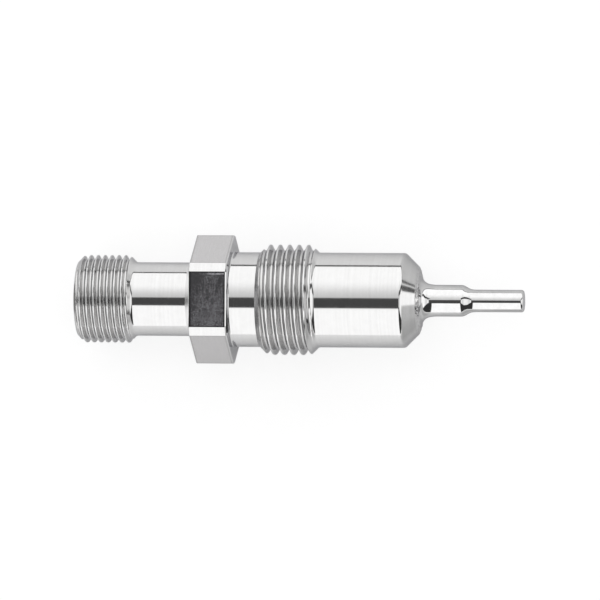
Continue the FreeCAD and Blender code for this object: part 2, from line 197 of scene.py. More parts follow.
# ------------------------------------------------------------------ shader helpers
class Nodes:
    def __init__(self, tree):
        self.t = tree
        tree.nodes.clear()

    def new(self, kind, **props):
        node = self.t.nodes.new(kind)
        for key, value in props.items():
            setattr(node, key, value)
        return node

    def put(self, socket, value):
        if value is None:
            return
        if isinstance(value, bpy.types.NodeSocket):
            self.t.links.new(value, socket)
        else:
            socket.default_value = value

    def math(self, op, a, b=None, c=None, clamp=False):
        node = self.new("ShaderNodeMath", operation=op, use_clamp=clamp)
        for s, v in zip(node.inputs, (a, b, c)):
            self.put(s, v)
        return node.outputs[0]

    def vec(self, op, a, b=None, scale=None):
        node = self.new("ShaderNodeVectorMath", operation=op)
        self.put(node.inputs[0], a)
        if b is not None:
            self.put(node.inputs[1], b)
        if scale is not None:
            self.put(node.inputs["Scale"], scale)
        return node.outputs["Value"] if op in ("LENGTH", "DOT_PRODUCT") else node.outputs[0]

    def xyz(self, v):
        node = self.new("ShaderNodeSeparateXYZ")
        self.put(node.inputs[0], v)
        return node.outputs[0], node.outputs[1], node.outputs[2]

    def combine(self, x, y, z):
        node = self.new("ShaderNodeCombineXYZ")
        for s, v in zip(node.inputs, (x, y, z)):
            self.put(s, v)
        return node.outputs[0]

    def ramp(self, value, lo, hi, a=0.0, b=1.0, smooth=True):
        node = self.new("ShaderNodeMapRange", interpolation_type="SMOOTHSTEP" if smooth else "LINEAR")
        node.clamp = True
        self.put(node.inputs["Value"], value)
        for key, v in (("From Min", lo), ("From Max", hi), ("To Min", a), ("To Max", b)):
            self.put(node.inputs[key], v)
        return node.outputs[0]

    def noise(self, vector=None, w=None, scale=1.0, detail=2.0, rough=0.5, dims="3D", distortion=0.0):
        node = self.new("ShaderNodeTexNoise", noise_dimensions=dims)
        if vector is not None:
            self.put(node.inputs["Vector"], vector)
        if w is not None:
            self.put(node.inputs["W"], w)
        node.inputs["Scale"].default_value = scale
        node.inputs["Detail"].default_value = detail
        node.inputs["Roughness"].default_value = rough
        node.inputs["Distortion"].default_value = distortion
        return node.outputs[0]

    def colours(self, value, stops):
        node = self.new("ShaderNodeValToRGB")
        ramp = node.color_ramp
        while len(ramp.elements) < len(stops):
            ramp.elements.new(0.5)
        for el, (pos, col) in zip(ramp.elements, stops):
            el.position = pos
            el.color = (*col, 1.0)
        self.put(node.inputs[0], value)
        return node.outputs[0]

    def bump(self, height, distance, strength=1.0, normal=None):
        node = self.new("ShaderNodeBump")
        node.inputs["Strength"].default_value = strength
        node.inputs["Distance"].default_value = distance
        self.put(node.inputs["Height"], height)
        if normal is not None:
            self.put(node.inputs["Normal"], normal)
        return node.outputs[0]

    def coords(self):
        """Position on the object in mm, and its x, y, z and radius from the sensor's axis."""
        tc = self.new("ShaderNodeTexCoord")
        p = self.vec("SCALE", tc.outputs["Object"], scale=1000.0)
        x, y, z = self.xyz(p)
        r = self.vec("LENGTH", self.combine(0.0, y, z))
        return p, x, y, z, r


def surface(name):
    mat = bpy.data.materials.new(name)
    mat.use_nodes = True
    n = Nodes(mat.node_tree)
    out = n.new("ShaderNodeOutputMaterial")
    bsdf = n.new("ShaderNodeBsdfPrincipled")
    n.t.links.new(bsdf.outputs[0], out.inputs["Surface"])
    return mat, n, bsdf


def steel(name):
    """Bare steel: metal whose reflection drops a little at a grazing angle."""
    mat, n, bsdf = surface(name)
    bsdf.inputs["Metallic"].default_value = 1.0
    bsdf.inputs["Specular Tint"].default_value = (0.62, 0.62, 0.635, 1.0)
    return mat, n, bsdf


def grey(v, warm=0.0):
    return (v * (1 + warm), v, v * (1 - warm))


def turned_steel(name, lo=0.615, hi=0.665, rough=0.085, spread=0.035, mark=0.25e-6, freq=13.0):
    """Bright turned steel: fine tool marks round the axis, faint bands and handling clouds."""
    mat, n, b = steel(name)
    p, x, y, z, r = n.coords()
    s = n.math("ADD", x, n.math("MULTIPLY", r, 0.37))
    fine = n.noise(w=n.math("MULTIPLY", s, freq), dims="1D", detail=4.0, rough=0.62)
    band = n.noise(w=n.math("MULTIPLY", s, 1.7), dims="1D", detail=3.0)
    cloud = n.noise(p, scale=0.55, detail=4.0, rough=0.6)
    tone = n.math("ADD", n.math("MULTIPLY", band, 0.45), n.math("MULTIPLY", cloud, 0.55))
    n.put(b.inputs["Base Color"], n.colours(tone, [(0.30, grey(lo, 0.004)), (0.70, grey(hi, 0.002))]))
    wear = n.math("ADD", n.math("MULTIPLY", fine, 0.6), n.math("MULTIPLY", cloud, 0.4))
    n.put(b.inputs["Roughness"], n.ramp(wear, 0.3, 0.7, rough - spread * 0.5, rough + spread * 0.5))
    n.put(b.inputs["Normal"], n.bump(fine, mark))
    return mat


def thread_steel(name, crest, root, end):
    """Cut thread: satin flanks and root with fine chatter along the helix, crests worn bright, front run-out turned clean."""
    mat, n, b = steel(name)
    p, x, y, z, r = n.coords()
    depth = n.ramp(r, root, crest, smooth=False)
    top = n.ramp(depth, 0.86, 0.97)
    s = n.math("ADD", x, n.math("MULTIPLY", r, 0.61))
    fine = n.noise(w=n.math("MULTIPLY", s, 16.0), dims="1D", detail=3.0, rough=0.6)
    cloud = n.noise(p, scale=1.3, detail=4.0, rough=0.62)
    clean = n.ramp(x, end - 1.45, end - 0.95)
    tone = n.math("ADD", n.math("MULTIPLY", top, 0.66), n.math("MULTIPLY", n.math("ADD", fine, cloud), 0.17))
    tone = n.math("ADD", tone, n.math("MULTIPLY", clean, 0.18))
    n.put(b.inputs["Base Color"], n.colours(tone, [(0.06, grey(0.54, 0.006)), (0.30, grey(0.62, 0.004)), (0.90, grey(0.68))]))
    wear = n.math("ADD", n.math("MULTIPLY", fine, 0.55), n.math("MULTIPLY", cloud, 0.45))
    satin_gloss = n.math("SUBTRACT", n.ramp(wear, 0.3, 0.7, 0.15, 0.225), n.math("MULTIPLY", top, 0.085))
    n.put(b.inputs["Roughness"], n.math("MULTIPLY", satin_gloss, n.ramp(clean, 0.0, 1.0, 1.0, 0.42, smooth=False)))
    n.put(b.inputs["Normal"], n.bump(n.math("ADD", fine, n.math("MULTIPLY", cloud, 0.5)), 1.2e-6))
    return mat


def milled_steel(name):
    """Milled hexagon flats: blotchy satin with faint cutter strokes and fine scratches, burnished along the edges, with
    painted shade on the -Y flats and along the edges and a painted bluish reflection on the upper flat.
    """
    mat, n, b = steel(name)
    p, x, y, z, r = n.coords()
    stroke = n.noise(n.combine(n.math("MULTIPLY", x, 7.0), n.math("MULTIPLY", y, 0.35), n.math("MULTIPLY", z, 0.35)),
                     scale=1.0, detail=3.0, rough=0.62)
    hair = n.noise(n.combine(n.math("MULTIPLY", n.math("ADD", x, n.math("MULTIPLY", y, 0.06)), 6.5), n.math("MULTIPLY", y, 0.22), n.math("MULTIPLY", z, 0.22)),
                   scale=1.0, detail=1.0, rough=0.4)
    blot = n.noise(p, scale=0.5, detail=4.0, rough=0.6)
    speck = n.noise(p, scale=3.4, detail=4.0, rough=0.72)
    # smoother towards the rear edge, and a little towards the front one
    rear = n.math("MULTIPLY", n.ramp(n.math("SUBTRACT", x, n.math("MULTIPLY", y, 0.20)), HEX_REAR - 0.6, HEX_REAR + 3.4),
                  n.ramp(x, HEX_FRONT - 2.4, HEX_FRONT - 0.2, 1.0, 0.6))
    turn = n.math("MODULO", n.math("ADD", n.math("MULTIPLY", n.math("ARCTAN2", z, y), 180.0 / math.pi), 360.0), 60.0)
    # edges of the flats, where the colour carries painted shade and the finish is burnished smoother
    rim = n.math("MAXIMUM", n.ramp(n.math("ABSOLUTE", n.math("SUBTRACT", turn, 30.0)), 24.0, 25.5),
                 n.math("MAXIMUM", n.ramp(x, HEX_REAR + 0.12, HEX_REAR + 0.45, 1.0, 0.0), n.ramp(x, HEX_FRONT - 0.54, HEX_FRONT - 0.22)))
    tone = n.math("ADD", n.math("MULTIPLY", speck, 0.55), n.math("MULTIPLY", stroke, 0.45))
    base = n.colours(tone, [(0.32, (0.535, 0.526, 0.528)), (0.68, (0.665, 0.655, 0.658))])
    # painted light in the colour: the upper flat is tinted a shade bluer as a painted reflection, the -Y flats are
    # painted a shade darker as shade, and so are the burnished edges, most at the ends of the upper flat
    cool = n.ramp(z, 10.6, 10.95)
    # ends of the upper flat, painted darkest in colour and burnished smoother
    ends = n.math("MULTIPLY", cool, n.math("MAXIMUM", n.ramp(x, HEX_REAR + 0.34, HEX_REAR + 0.48, 1.0, 0.0),
                                           n.ramp(x, HEX_FRONT - 0.46, HEX_FRONT - 0.36)))
    # painted shade: the -Y flats a shade darker in colour
    front = n.ramp(y, -6.4, -5.6, 0.912, 1.0)
    # a fine line worn beside its +Y edge
    line = n.math("MULTIPLY", n.math("MULTIPLY", cool, n.ramp(x, HEX_REAR + 1.6, HEX_REAR + 4.6)),
                  n.ramp(n.math("ABSOLUTE", n.math("SUBTRACT", turn, 6.3)), 0.35, 0.9, 1.0, 0.0))
    # painted shade in the colour: darker on the -Y flats, along the edges and most at the ends of the upper flat
    dull = n.math("MULTIPLY", n.math("MULTIPLY", front, n.ramp(rim, 0.0, 1.0, 1.0, 0.74, smooth=False)), n.ramp(ends, 0.0, 1.0, 1.0, 0.5, smooth=False))
    # painted reflection: the upper flat tinted a shade bluer in colour
    tint = n.combine(n.math("MULTIPLY", dull, n.ramp(cool, 0.0, 1.0, 1.0, 0.965, smooth=False)),
                     n.math("MULTIPLY", dull, n.ramp(cool, 0.0, 1.0, 1.0, 0.965, smooth=False)),
                     n.math("MULTIPLY", dull, n.ramp(cool, 0.0, 1.0, 1.0, 1.015, smooth=False)))
    n.put(b.inputs["Base Color"], n.vec("MULTIPLY", base, tint))
    wear = n.math("ADD", n.math("ADD", n.math("MULTIPLY", blot, 0.46), n.ramp(speck, 0.34, 0.66, 0.0, 0.30)),
                  n.math("ADD", n.ramp(stroke, 0.36, 0.64, 0.0, 0.14), n.math("MULTIPLY", rear, 0.18)))
    # the upper flat is smoother towards +Y
    wear = n.math("ADD", wear, n.math("MULTIPLY", cool, n.ramp(y, -2.5, 4.6, 0.035, -0.085)))
    scratch = n.math("ADD", n.ramp(hair, 0.62, 0.72, 0.0, 0.03), n.math("MULTIPLY", line, 0.19))
    satin_gloss = n.math("ADD", n.ramp(wear, 0.40, 0.74, 0.066, 0.21), scratch)
    burnish = n.math("MULTIPLY", n.ramp(rim, 0.0, 1.0, 1.0, 0.6, smooth=False), n.ramp(ends, 0.0, 1.0, 1.0, 0.35, smooth=False))
    n.put(b.inputs["Roughness"], n.math("MULTIPLY", satin_gloss, burnish))
    h = n.math("ADD", n.math("MULTIPLY", stroke, 0.5), n.math("MULTIPLY", speck, 0.7))
    n.put(b.inputs["Normal"], n.bump(h, 2.4e-6))
    return mat


def weld_steel(name):
    """Fused ring: soft ripples, slightly dull, with a faint straw tint in places."""
    mat, n, b = steel(name)
    p, x, y, z, r = n.coords()
    blot = n.noise(p, scale=1.5, detail=4.0, rough=0.6, distortion=0.4)
    speck = n.noise(p, scale=5.5, detail=3.0)
    n.put(b.inputs["Base Color"], n.colours(blot, [(0.30, (0.56, 0.555, 0.555)), (0.46, (0.69, 0.685, 0.68)), (0.66, (0.79, 0.79, 0.79))]))
    n.put(b.inputs["Roughness"], n.ramp(n.math("ADD", n.math("MULTIPLY", blot, 0.6), n.math("MULTIPLY", speck, 0.4)), 0.3, 0.7, 0.05, 0.14))
    n.put(b.inputs["Normal"], n.bump(n.math("ADD", blot, n.math("MULTIPLY", speck, 0.5)), 36.0e-6))
    return mat


def drawn_steel(name):
    """Drawn and polished tube: mirror finish, hair lines along the axis."""
    mat, n, b = steel(name)
    p, x, y, z, r = n.coords()
    ang = n.math("ARCTAN2", z, y)
    hair = n.noise(n.combine(n.math("MULTIPLY", x, 0.25), n.math("MULTIPLY", n.math("COSINE", ang), 26.0), n.math("MULTIPLY", n.math("SINE", ang), 26.0)),
                   scale=1.0, detail=3.0, rough=0.6)
    cloud = n.noise(p, scale=0.9, detail=4.0, rough=0.6)
    n.put(b.inputs["Base Color"], n.colours(cloud, [(0.30, grey(0.63, 0.003)), (0.70, grey(0.70, 0.001))]))
    n.put(b.inputs["Roughness"], n.ramp(n.math("ADD", n.math("MULTIPLY", hair, 0.5), n.math("MULTIPLY", cloud, 0.5)), 0.3, 0.7, 0.035, 0.075))
    n.put(b.inputs["Normal"], n.bump(hair, 0.6e-6))
    return mat


def plain(name, lo, hi, metallic=0.0, rough=(0.4, 0.6), scale=3.0, bump=2.0e-6, detail=4.0):
    """Small inner pieces: colour, gloss and relief all vary with one cloud and a fine grain."""
    mat, n, b = surface(name)
    p, x, y, z, r = n.coords()
    cloud = n.noise(p, scale=scale, detail=detail, rough=0.6)
    grain = n.noise(p, scale=scale * 7.0, detail=2.0)
    n.put(b.inputs["Base Color"], n.colours(cloud, [(0.30, lo), (0.70, hi)]))
    b.inputs["Metallic"].default_value = metallic
    n.put(b.inputs["Roughness"], n.ramp(n.math("ADD", n.math("MULTIPLY", cloud, 0.5), n.math("MULTIPLY", grain, 0.5)), 0.3, 0.7, rough[0], rough[1]))
    n.put(b.inputs["Normal"], n.bump(n.math("ADD", n.math("MULTIPLY", cloud, 0.3), grain), bump))
    return mat


bright = turned_steel("bright_turned_steel")
satin = turned_steel("satin_turned_steel", lo=0.585, hi=0.655, rough=0.105, spread=0.05, mark=0.8e-6, freq=10.0)
bore = turned_steel("bored_steel", lo=0.50, hi=0.60, rough=0.26, spread=0.10, mark=2.5e-6, freq=7.0)
fillet = turned_steel("turned_corner_steel", lo=0.60, hi=0.66, rough=0.34, spread=0.06, mark=0.6e-6, freq=10.0)
tail_thread = thread_steel("tail_thread_steel", TAIL_R, TAIL_ROOT, NECK_REAR)
proc_thread = thread_steel("process_thread_steel", PROC_R, PROC_ROOT, PROC_1)
milled = milled_steel("milled_hexagon_steel")
face = turned_steel("faced_steel", lo=0.62, hi=0.70, rough=0.10, spread=0.05, mark=0.9e-6, freq=9.0)
BRIGHT, SATIN, BORE, TAILT, PROCT, MILLED, FACE, FILLET = range(8)

# ------------------------------------------------------------------ sensor body
body = Skin()


def hex_ring(x, half, corner):
    """Outline of the hexagon with turned corners; grid angles snap to the ends of the flats."""
    beta = math.acos(half / corner)
    th = angles().copy()
    centre = np.round((th - math.radians(30)) / math.radians(60)) * math.radians(60) + math.radians(30)
    d = th - centre
    d = np.where(np.abs(np.abs(d) - math.radians(25.5)) < 1e-6, np.sign(d) * beta, d)
    r = np.where(np.abs(d) <= beta + 1e-9, half / np.cos(d), corner)
    return body.ring(x, r, centre + d), np.abs(d) <= beta + 1e-9


CORNER = 0.7                               # radius of the inner corner at the foot of a run-out
FOOT = 0.06                                # and how far behind the plain part it starts
TURN = CORNER * math.tan(math.radians(22.5))
REACH = TURN - FOOT


def run_out(d, r):
    """45 degree run-out down to radius r at d = 0, with its inner corner rounded."""
    d = d + FOOT
    start = -TURN * math.cos(math.radians(45))
    arc = r + CORNER - np.sqrt(CORNER ** 2 - (np.clip(d, start, TURN) - TURN) ** 2)
    return np.where(d < start, r - d, arc)


def env_tail(x):
    return np.minimum(np.minimum(7.15 + (x - REAR), TAIL_R), run_out(x - NECK_REAR, 7.0))


def env_proc(x):
    return np.minimum(np.minimum(9.0 + (x - PROC_0), PROC_R), run_out(x - PROC_1, 9.0))


def run(prev, points, mat):
    """Rings through further profile points, each joined to the one before."""
    for x, r in points:
        nxt = body.ring(x, r)
        body.join(prev, nxt, mat)
        prev = nxt
    return prev


mouth = body.ring(REAR, 5.9)
tail_a = run(mouth, [(REAR, 7.15)], SATIN)
tail_b = body.ring(NECK_REAR + REACH, 7.0)
offs, prof = thread_form(TAIL_P, TAIL_R)
body.thread(tail_a, tail_b, REAR, NECK_REAR + REACH, TAIL_P, TAIL_TOP, offs, prof, env_tail, TAILT)
f = 0.25
fn = 0.9
last = run(tail_b, [(NECK_REAR + REACH + 0.2, 7.0), (HEX_REAR - fn - 0.42, 7.0)], BRIGHT)
# the turning tool left a duller band in the corner before the hexagon
last = run(last, [(HEX_REAR - fn, 7.0)] + arc_pts((HEX_REAR - fn, 7.0 + fn), fn, -90, 0, 14)[1:], FILLET)
last = run(last, [(HEX_REAR, 8.2)], FACE)
half, corner, bev, bev_r = 11.0, 12.196, 0.20, 0.10
h1, _ = hex_ring(HEX_REAR, half - bev_r, corner - bev_r)
h2, flat = hex_ring(HEX_REAR + bev_r, half, corner)
h3, _ = hex_ring(HEX_FRONT - bev, half, corner)
h4, _ = hex_ring(HEX_FRONT, half - bev, corner - bev)
on_flat = np.where(flat & np.roll(flat, -1), MILLED, BRIGHT)
body.join(last, h1, FACE)
body.join(h1, h2, BRIGHT)
body.join(h2, h3, on_flat)
body.join(h3, h4, BRIGHT)
front = body.ring(HEX_FRONT, 9.6)
body.join(h4, front, FACE)
last = run(front, [(HEX_FRONT, 9.0 + f)], FACE)
last = run(last, arc_pts((HEX_FRONT + f, 9.0 + f), f, 180, 270, 6)[1:], BRIGHT)
last = run(last, [(HEX_FRONT + f + 0.3, 9.0), (PROC_0 - 0.3, 9.0)], BRIGHT)
proc_a = run(last, [(PROC_0, 9.0)], BRIGHT)
proc_b = body.ring(PROC_1 + REACH, 9.0)
offs, prof = thread_form(PROC_P, PROC_R)
body.thread(proc_a, proc_b, PROC_0, PROC_1 + REACH, PROC_P, PROC_TOP, offs, prof, env_proc, PROCT)
last = run(proc_b, [(PROC_1 + REACH + 0.2, 9.0), (CONE_0 - 0.5, 9.0)], BRIGHT)
# rounded edge between shank and cone
e = 0.85
t = e * math.tan(math.radians(22.5))
last = run(last, [(CONE_0 - t - 0.05, 9.0)] + arc_pts((CONE_0 - t, 9.0 - e), e, 90, 45, 13), BRIGHT)
last = run(last, [(CONE_0 + 0.3, 8.7), (CONE_1 - 0.1, 6.6), (CONE_1, 6.5)], SATIN)
last = run(last, [(CONE_1, FOOT_R)], SATIN)
# seat of the probe's foot, wire bores, socket
drill = (4.5 - 1.8) / math.tan(math.radians(59.0))
cav = HEX_FRONT + 24.0
last = run(last, [(FOOT_BACK, FOOT_R), (FOOT_BACK, 1.8), (cav + drill, 1.8), (cav, 4.5), (SHOULDER, 4.5), (SHOULDER, 5.5),
                  (CARRIER_FACE, 5.5), (CARRIER_FACE, 6.0), (CARRIER_FACE - 1.1, 6.0), (CARRIER_FACE - 1.1, 5.5),
                  (REAR + 0.7, 5.5), (REAR + 0.4, 5.5)], BORE)
body.join(last, mouth, BRIGHT)
body_obj = body.make("sensor_body_skin", [bright, satin, bore, tail_thread, proc_thread, milled, face, fillet])
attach(body_obj, "root")
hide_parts("sensor_body")

# ------------------------------------------------------------------ nose weld
NW = 360
weld = Skin(NW)


def circle3(a, m, b):
    ax, ay, bx, by, cx, cy = *a, *m, *b
    d = 2 * (ax * (by - cy) + bx * (cy - ay) + cx * (ay - by))
    ux = ((ax * ax + ay * ay) * (by - cy) + (bx * bx + by * by) * (cy - ay) + (cx * cx + cy * cy) * (ay - by)) / d
    uy = ((ax * ax + ay * ay) * (cx - bx) + (bx * bx + by * by) * (ax - cx) + (cx * cx + cy * cy) * (bx - ax)) / d
    return (ux, uy), math.hypot(ax - ux, ay - uy)


wa, wm, wb = (CONE_1, 6.5), (CONE_1 + 0.285, 5.6), (WELD_1, FOOT_R)
wc, wr = circle3(wa, wm, wb)
a0 = math.degrees(math.atan2(wa[1] - wc[1], wa[0] - wc[0]))
a1 = math.degrees(math.atan2(wb[1] - wc[1], wb[0] - wc[0]))
th = angles(NW)
# uneven beads and spatter along the ring: angle, place across the bead, height, half widths (mm)
lumps = [(86.4, 0.66, 0.20, 0.36, 0.20), (87.4, 0.32, 0.17, 0.34, 0.20), (90.6, 0.34, 0.20, 0.36, 0.20), (90.2, 0.76, 0.20, 0.34, 0.19),
         (94.4, 0.55, 0.08, 0.30, 0.20), (80.5, 0.45, -0.13, 0.45, 0.28)]
for k in range(24):
    lumps.append((97.0 + 13.9 * k + 5.0 * math.sin(2.3 * k), 0.45 + 0.24 * math.sin(1.7 * k + 0.6), 0.085 + 0.055 * math.sin(3.1 * k),
                  0.38 + 0.09 * math.sin(4.7 * k), 0.25 + 0.05 * math.sin(2.9 * k + 1.0)))


def lumpy(u):
    """Height of the lumps along one row of the bead."""
    total = np.zeros(NW)
    for at, across, high, wt, wu in lumps:
        arc = (np.degrees(th) - at + 180.0) % 360.0 - 180.0
        total += high * np.exp(-(np.radians(arc) * 5.6 / wt) ** 2 - ((u - across) * 1.9 / wu) ** 2)
    return total


w_in = weld.ring(CONE_1, FOOT_R)
first = prev = None
rows = 40
for q in range(rows + 1):
    u = q / rows
    a = math.radians(a0 + (a1 - a0) * u)
    # overlapping crescents of the weld pool, fading out at both edges
    lag = 2.6 * (u - 0.5) ** 2
    wave = 0.5 + 0.5 * np.cos(46 * th + 7.0 * lag + 0.7 * np.sin(3 * th) + 0.4 * np.sin(7 * th + 1.0))
    slow = 0.35 * np.sin(5 * th + 0.4) + 0.25 * np.sin(11 * th + 2.0 + 3 * u)
    fade = math.sin(math.pi * u) ** 0.8 if 0 < u < 1 else 0.0
    fleck = np.sin(83 * th + 9 * u + 1.5 * np.sin(13 * th)) * np.sin(5.5 * math.pi * u + 2.2 * np.sin(17 * th) + 3 * th)
    d = fade * (0.050 * (wave - 0.6) + 0.030 * slow + 0.034 * fleck + lumpy(u))
    rr = wr + d
    ring = weld.ring(wc[0] + rr * math.cos(a), wc[1] + rr * math.sin(a))
    if prev is None:
        first = ring
        weld.join(w_in, ring, 0)
    else:
        weld.join(prev, ring, 0)
    prev = ring
weld.join(prev, w_in, 0)
weld_obj = weld.make("nose_weld_bead", [weld_steel("weld_bead_steel")], sharp=40.0)
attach(weld_obj, "root")
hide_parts("nose_weld")

# ------------------------------------------------------------------ probe sheath
NS = 160
sheath = Skin(NS)
WIDE_R, TIGHT_R, A1, A2 = 7.27, 1.98, 11.5, 66.0
wide_c = (FLARE_1, 3.0 + WIDE_R)
pw = (wide_c[0] - WIDE_R * math.sin(math.radians(A1)), wide_c[1] - WIDE_R * math.cos(math.radians(A1)))
tight_c = (pw[0] + TIGHT_R * math.sin(math.radians(A1)), pw[1] + TIGHT_R * math.cos(math.radians(A1)))


def drawn_down(x0, r0, x1, r1, slope, n):
    """Arc, straight run at the given slope, arc: from one straight tube to a thinner one."""
    d, length, a = r0 - r1, x1 - x0, math.radians(slope)
    cot = 1 / math.tan(a)
    rad = (length - d * cot) / (2 * (math.sin(a) - cot * (1 - math.cos(a))))
    t = [a * q / n for q in range(n + 1)]
    one = [(x0 + rad * math.sin(q), r0 - rad * (1 - math.cos(q))) for q in t]
    two = [(x1 - rad * math.sin(q), r1 + rad * (1 - math.cos(q))) for q in reversed(t)]
    mid = ((one[-1][0] + two[0][0]) / 2, (one[-1][1] + two[0][1]) / 2)
    return one + [mid] + two


def taper():
    """Drawn-down part: arc, straight run, arc, and a wider arc into the tip's tube."""
    ra, rb, rc = TAPER_R
    end = (TAPER_1 - rc * math.sin(TAPER_B), TIP_R + rc * (1 - math.cos(TAPER_B)))
    one = [(STEM_1 + ra * math.sin(q), 3.0 - ra * (1 - math.cos(q))) for q in np.linspace(0, TAPER_A, 15)]
    two = [(end[0] - rb * (math.sin(q) - math.sin(TAPER_B)), end[1] + rb * (math.cos(TAPER_B) - math.cos(q)))
           for q in np.linspace(TAPER_A, TAPER_B, 11)]
    three = [(TAPER_1 - rc * math.sin(q), TIP_R + rc * (1 - math.cos(q))) for q in np.linspace(TAPER_B, 0, 8)]
    mid = [(one[-1][0] + (two[0][0] - one[-1][0]) * u, one[-1][1] + (two[0][1] - one[-1][1]) * u) for u in (0.33, 0.67)]
    return one + mid + two + three[1:]


outer = [(FOOT_BACK, FOOT_R), (WELD_1, FOOT_R)]
outer += arc_pts(tight_c, TIGHT_R, 270 - A2, 270 - A1, 26)
outer += arc_pts(wide_c, WIDE_R, 270 - A1, 270, 10)[1:]
outer += [(FLARE_1 + 0.2, 3.0), (STEM_1 - 0.2, 3.0)]
outer += taper()
outer += [(TAPER_1 + 0.2, TIP_R), (TIP_1 - 0.7, TIP_R)]
outer += arc_pts((TIP_1 - 0.5, TIP_R - 0.5), 0.5, 90, 0, 14)
outer += [(TIP_1, 1.4), (TIP_1, 0.8), (TIP_1, 0.25)]
inner = [(TIP_1 - 0.83, 0.25), (TIP_1 - 0.83, 1.35)]
inner += arc_pts((TIP_1 - 1.23, 1.35), 0.4, 0, 90, 6)[1:]
inner += list(reversed(drawn_down(STEM_1 - 0.25, 2.45, TAPER_1 - 0.45, 1.75, 27.5, 6)))
inner += [(FOOT_BACK, 2.45)]
rings = [sheath.ring(x, r) for x, r in outer]
for a, b in zip(rings[:-1], rings[1:]):
    sheath.join(a, b, 0)
sheath.cap(rings[-1], 0)
back = [sheath.ring(x, r) for x, r in inner]
sheath.cap(back[0], 1, flip=True)
for a, b in zip(back[:-1], back[1:]):
    sheath.join(a, b, 1)
sheath.join(back[-1], rings[0], 1)
sheath_obj = sheath.make("probe_sheath_tube", [drawn_steel("drawn_polished_steel"), turned_steel("tube_bore_steel", lo=0.45, hi=0.55, rough=0.3, spread=0.1)], sharp=30.0)
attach(sheath_obj, "root")
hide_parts("probe_sheath")

# ------------------------------------------------------------------ finishes of the CAD pieces
finish = {
    "element_ceramic": plain("fired_white_ceramic", (0.78, 0.78, 0.75), (0.88, 0.88, 0.86), rough=(0.25, 0.45)),
    "lead_metal": plain("bright_lead_wire", (0.66, 0.65, 0.62), (0.76, 0.75, 0.72), 1.0, (0.15, 0.3), 8.0),
    "crimp_metal": plain("pressed_sleeve_metal", (0.62, 0.50, 0.28), (0.76, 0.63, 0.38), 1.0, (0.2, 0.38), 6.0),
    "insulator_ceramic": plain("matt_ceramic_rod", (0.80, 0.77, 0.70), (0.90, 0.88, 0.82), rough=(0.55, 0.8), bump=5e-6),
    "wire_metal": plain("plated_wire", (0.60, 0.58, 0.55), (0.72, 0.70, 0.67), 1.0, (0.18, 0.34), 7.0),
    "mineral_powder": plain("packed_powder", (0.74, 0.72, 0.67), (0.88, 0.86, 0.82), rough=(0.8, 0.95), scale=5.0, bump=2e-5),
    "potting_resin": plain("cast_resin", (0.025, 0.025, 0.028), (0.045, 0.045, 0.05), rough=(0.2, 0.4), scale=1.2),
    "carrier_plastic": plain("moulded_carrier_plastic", (0.030, 0.030, 0.033), (0.055, 0.055, 0.058), rough=(0.42, 0.6), scale=2.5, bump=6e-6),
    "contact_plating": plain("plated_contact", (0.80, 0.56, 0.22), (0.92, 0.70, 0.34), 1.0, (0.12, 0.24), 4.0, 1e-6),
    "seal_rubber": plain("seal_rubber", (0.018, 0.018, 0.018), (0.035, 0.035, 0.035), rough=(0.5, 0.7), scale=3.0, bump=4e-6),
    "ring_steel": plain("spring_ring_steel", (0.22, 0.21, 0.20), (0.36, 0.34, 0.32), 1.0, (0.28, 0.45), 3.0),
}
for sub in frame["record"]["subparts"]:
    node = frame["nodes"][sub["node"]]
    if sub["material_slot"] in finish:
        node.data.materials.clear()
        node.data.materials.append(finish[sub["material_slot"]])

# ------------------------------------------------------------------ floor
floor_mat, n, b = surface("pale_floor")
p, x, y, z, r = n.coords()
paper = n.noise(p, scale=0.35, detail=4.0)
path = n.new("ShaderNodeLightPath")
direct = path.outputs["Is Camera Ray"]
# what the steel mirrors carries painted shade: a shade darker towards the front, a painted shadow in front of the nose,
# and painted light that makes it lighter again far off; seen directly, the sheet is even
# painted shadow in front of the nose
nose = n.math("ADD", n.ramp(x, 12.0, 32.0, 0.0, 0.33),
              n.math("MULTIPLY", n.ramp(x, 27.0, 39.0, 0.0, 0.31), n.ramp(y, -25.0, -13.0, 1.0, 0.0)))
# painted light far off
far = n.ramp(y, -110.0, -20.0, 0.30, 0.0, smooth=False)
# painted shade towards the front
side = n.math("SUBTRACT", n.math("ADD", n.ramp(y, -40.0, 5.0, 0.76, 0.88), far), nose)
side = n.math("ADD", n.math("MULTIPLY", side, n.math("SUBTRACT", 1.0, direct)), n.math("MULTIPLY", direct, 0.88))
n.put(b.inputs["Base Color"], n.colours(n.math("ADD", n.math("MULTIPLY", paper, 0.04), side), [(0.0, grey(0.35)), (1.0, grey(0.85))]))
b.inputs["Roughness"].default_value = 0.9
b.inputs["Specular IOR Level"].default_value = 0.0
# seen directly, the sheet is mostly lit through from below, so only a faint shadow shows
glow = n.new("ShaderNodeEmission")
glow.inputs["Color"].default_value = (1.0, 1.0, 1.0, 1.0)
glow.inputs["Strength"].default_value = 1.04
mix = n.new("ShaderNodeMixShader")
n.put(mix.inputs[0], n.math("MULTIPLY", direct, 0.76))
n.put(mix.inputs[1], b.outputs[0])
n.put(mix.inputs[2], glow.outputs[0])
n.t.links.new(mix.outputs[0], [k for k in n.t.nodes if k.type == "OUTPUT_MATERIAL"][0].inputs["Surface"])
x0, x1, y0, y1, zf = -95 * MM, 220 * MM, -220 * MM, 220 * MM, -11.02 * MM
fm = bpy.data.meshes.new("floor")
fm.from_pydata([(x0, y0, zf), (x1, y0, zf), (x1, y1, zf), (x0, y1, zf)], [], [(0, 1, 2, 3)])
fm.materials.append(floor_mat)
floor = bpy.data.objects.new("floor", fm)
bpy.context.scene.collection.objects.link(floor)

